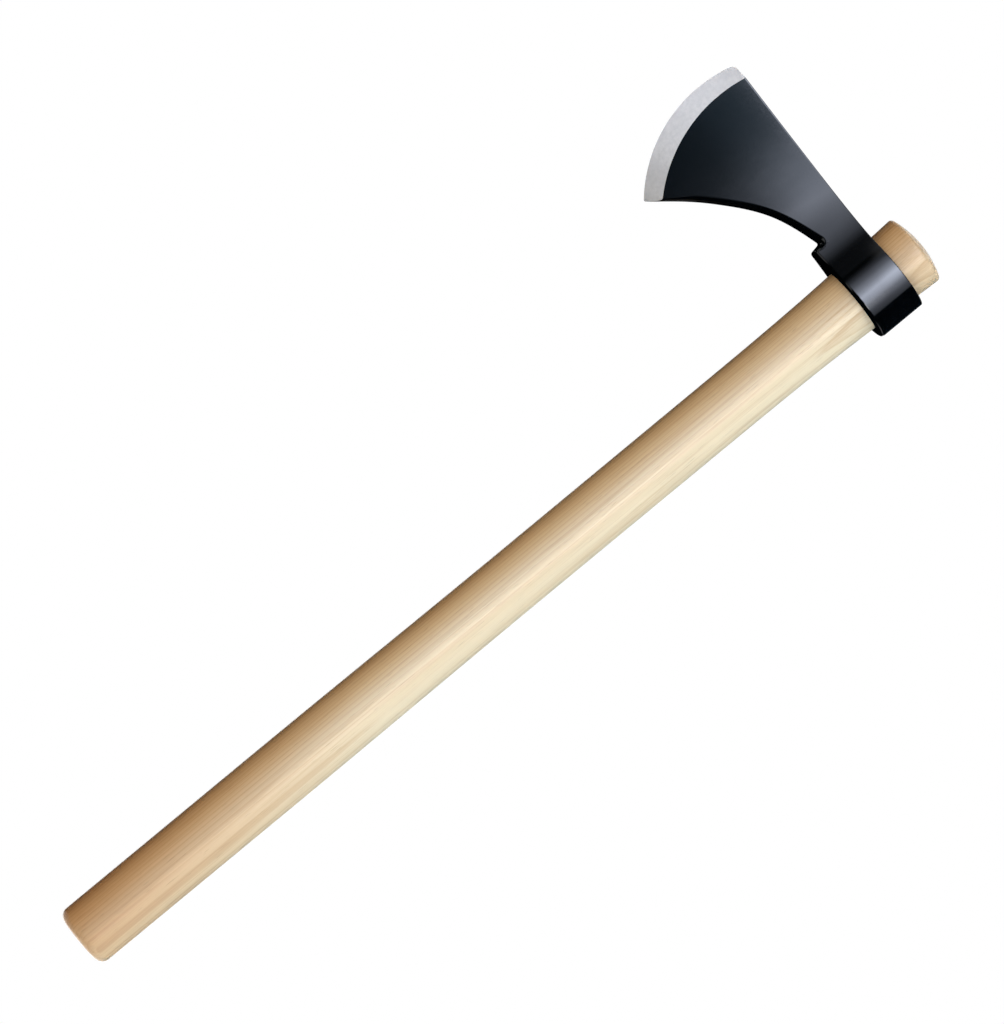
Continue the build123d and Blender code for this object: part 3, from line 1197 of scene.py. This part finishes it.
CARD_STRETCH = 0.18
CARD_REACH = 10.0
CARD_EDGE = (                # (degrees from its middle, share of light let past)
    (0.8, 0.02),
    (2.1, 0.08),
    (3.5, 0.48),
    (5.0, 0.64),
    (CARD_REACH, 1.0),
)
CARD_LOW = 5.0
CARD_HIGH = 6.2
CARD_COLOUR = (0.12, 0.30, 0.45)
STRIP_AZIMUTH = -30.0
STRIP_BRIGHTNESS = 15.0
FADE_REACH = 20.0            # degrees above and below level
FADE_PEAK = 1.2              # the ramp holds shares of this
PANEL_FADE = (               # (degrees above level, share of full brightness)
    (-10.0, 0.0),
    (-6.0, 0.12),
    (-1.5, 0.26),
    (0.0, 0.35),
    (1.3, 0.56),
    (2.6, 0.78),
    (4.0, 0.92),
    (6.3, 0.86),
    (7.2, 1.04),
    (9.5, 1.15),
    (14.0, 0.75),
    (20.0, 0.45),
)
REAR_PANELS = (              # (degrees from straight behind, brightness)
    (0.0, 0.7),
    (45.0, 0.7),
    (66.0, 0.9),
    (78.0, 0.35),
    (90.0, 0.15),
)
FRONT_FILL_AZIMUTH = 41.0
FAINT_LIGHT = (0.006, 0.010, 0.014)
REAR_WHITE = (3.6, 3.65, 3.7)
REAR_DARK = (0.04, 0.04, 0.04)


class World(Nodes):
    """Nodes of the studio all around, by direction."""

    def __init__(self):
        world = bpy.data.worlds.new("studio")
        bpy.context.scene.world = world
        world.use_nodes = True
        # Each kind of ray sees its own studio, so none of it is sampled as a light.
        world.cycles.sampling_method = "NONE"
        self.tree = world.node_tree
        self.tree.nodes.clear()

    def glow(self, table, azimuth):
        """Light by azimuth; a table of greys or of colours."""
        position = self.spread(azimuth, -180.0, 180.0, 0.0, 1.0)
        stops = []
        for degrees, value in table:
            if isinstance(value, tuple):
                value = tuple(part / BRIGHTEST for part in value)
            else:
                value = value / BRIGHTEST
            stops.append(((degrees + 180.0) / 360.0, value))
        colour = self.ramp(position, stops)
        return self.mix(1.0, colour, (BRIGHTEST, BRIGHTEST, BRIGHTEST), blend="MULTIPLY")

    def background(self, colour):
        node = self.add("ShaderNodeBackground")
        if isinstance(colour, tuple):
            colour = (*colour, 1.0)
        self.feed(node.inputs["Color"], colour)
        return node.outputs[0]

    def choose(self, factor, a, b):
        node = self.add("ShaderNodeMixShader")
        self.feed(node.inputs[0], factor)
        self.join(a, node.inputs[1])
        self.join(b, node.inputs[2])
        return node.outputs[0]


def dark_card(w, azimuth, height):
    """Cover of the dark card round the camera, which only the blade faces."""
    aside = w.math("SUBTRACT", azimuth, CARD_AZIMUTH)
    above = w.math("MULTIPLY", w.math("SUBTRACT", height, CARD_HEIGHT), CARD_STRETCH)
    off = w.math("ADD", w.math("MULTIPLY", aside, aside), w.math("MULTIPLY", above, above))
    reach = w.spread(w.math("SQRT", off), 0.0, CARD_REACH, 0.0, 1.0)
    card = w.ramp(reach, [(o / CARD_REACH, 1.0 - share) for o, share in CARD_EDGE])
    below = w.spread(height, CARD_LOW, CARD_HIGH, 1.0, 0.0, soft=True)
    return w.math("MULTIPLY", card, below)


def front_mirror(w, azimuth, height):
    """What the paint reflects of the camera's side."""
    mirror = w.mix(1.0, w.glow(REFLECTED, azimuth), PAINT_TINT, blend="MULTIPLY")
    mirror = w.mix(dark_card(w, azimuth, height), mirror, CARD_COLOUR)
    # A narrow panel stands low on the left, in front of the wide one.
    left = w.spread(azimuth, -14.0, -2.0, 1.0, 0.0, soft=True)
    low = w.spread(height, 4.8, 6.0, 1.0, 0.0, soft=True)
    mirror = w.mix(w.math("MULTIPLY", w.math("MULTIPLY", left, low), 0.75), mirror, BLACK)
    beside = w.math("ABSOLUTE", w.math("SUBTRACT", azimuth, STRIP_AZIMUTH))
    strip = w.spread(beside, 5.0, 14.0, STRIP_BRIGHTNESS, 0.0, soft=True)
    mirror = w.mix(1.0, mirror, w.math("MULTIPLY", strip, low), blend="ADD")
    # The panels fade towards the floor and the ceiling.
    lift = w.spread(height, -FADE_REACH, FADE_REACH, 0.0, 1.0)
    fade = [((h + FADE_REACH) / (2 * FADE_REACH), share / FADE_PEAK) for h, share in PANEL_FADE]
    mirror = w.mix(1.0, mirror, w.ramp(lift, fade), blend="MULTIPLY")
    mirror = w.mix(1.0, mirror, (FADE_PEAK, FADE_PEAK, FADE_PEAK), blend="MULTIPLY")
    mirror = w.mix(w.spread(height, 30.0, 60.0, 0.0, 0.9, soft=True), mirror, BLACK)
    # A faint edge of light high up on the blade side.
    blade_side = w.spread(azimuth, 44.0, 54.0, 0.0, 1.0, soft=True)
    high = w.spread(height, 7.4, 9.2, 0.0, 0.55, soft=True)
    return w.mix(1.0, mirror, w.math("MULTIPLY", blade_side, high), blend="ADD")


def rear_mirror(w, level, height):
    """A panel straight behind, up to a little above level."""
    behind = w.spread(level, 10.0, 24.0, 2.0, 0.0, soft=True)
    return w.math("MULTIPLY", behind, w.spread(height, 2.0, 4.5, 1.0, 0.0, soft=True))


def fill_panels(w, front, azimuth, height):
    """Panels out of the camera's sight, for views from elsewhere."""
    level = w.math("ABSOLUTE", azimuth)
    beyond = w.spread(w.math("ABSOLUTE", height), 9.0, 15.0, 0.0, 1.0, soft=True)
    rear = w.ramp(
        w.spread(level, 0.0, 90.0, 0.0, 1.0), [(d / 90.0, share) for d, share in REAR_PANELS]
    )
    turned = w.math("ABSOLUTE", w.math("SUBTRACT", azimuth, FRONT_FILL_AZIMUTH))
    beneath = w.spread(height, -15.0, -9.0, 0.9, 0.0, soft=True)
    ahead = w.math("MULTIPLY", w.spread(turned, 9.0, 14.0, 1.0, 0.0, soft=True), beneath)
    return w.mix(front, w.math("MULTIPLY", rear, beyond), ahead)


def add_world():
    """White to the camera; one studio for what mirrors, another for what is matt."""
    w = World()
    coords = w.add("ShaderNodeTexCoord").outputs["Generated"]
    x, y, z = w.axes(coords)
    turn = w.math("ARCTAN2", x, w.math("ABSOLUTE", y))
    azimuth = w.math("MULTIPLY", turn, 180 / math.pi)
    height = w.math("MULTIPLY", w.math("ARCSINE", z), 180 / math.pi)
    front = w.spread(y, -0.02, 0.02, 0.0, 1.0)
    level = w.math("ABSOLUTE", azimuth)

    mirror = w.mix(front, rear_mirror(w, level, height), front_mirror(w, azimuth, height))
    mirror = w.mix(1.0, mirror, FAINT_LIGHT, blend="ADD")
    mirror = w.mix(1.0, mirror, fill_panels(w, front, azimuth, height), blend="ADD")

    rear = w.mix(w.spread(level, 12.0, 30.0, 1.0, 0.0, soft=True), REAR_DARK, REAR_WHITE)
    soft = w.mix(front, rear, w.glow(DIFFUSE, azimuth))

    rays = w.add("ShaderNodeLightPath")
    seen = w.background((1.0, 1.0, 1.0))
    lit = w.choose(rays.outputs["Is Glossy Ray"], w.background(soft), w.background(mirror))
    out = w.add("ShaderNodeOutputWorld")
    w.join(w.choose(rays.outputs["Is Camera Ray"], lit, seen), out.inputs[0])


def add_studio():
    add_world()
    bpy.context.scene.view_settings.view_transform = "Standard"


FLOOR_Z = -135.0
FLOOR_RADIUS = 300.0


def pale_board():
    """Plain matt floor."""
    n = Nodes("pale_board")
    n.surface(Base_Color=(0.86, 0.86, 0.85), Roughness=0.8)
    return n.material


def add_floor(material):
    """Pale round floor below the lowest place the head can slide to."""
    verts, faces = revolve([(FLOOR_RADIUS, FLOOR_Z), (0.0, FLOOR_Z)], 128)
    floor = new_object("floor", verts, faces, material)
    floor.visible_diffuse = False
    floor.visible_glossy = False


hickory = lacquered_hickory()
paint = black_enamel()
steel = ground_steel()
screw_steel = blued_steel()

make_haft(hickory)
make_head(paint, steel)
make_set_screw(screw_steel)

add_studio()
add_floor(pale_board())
add_camera()
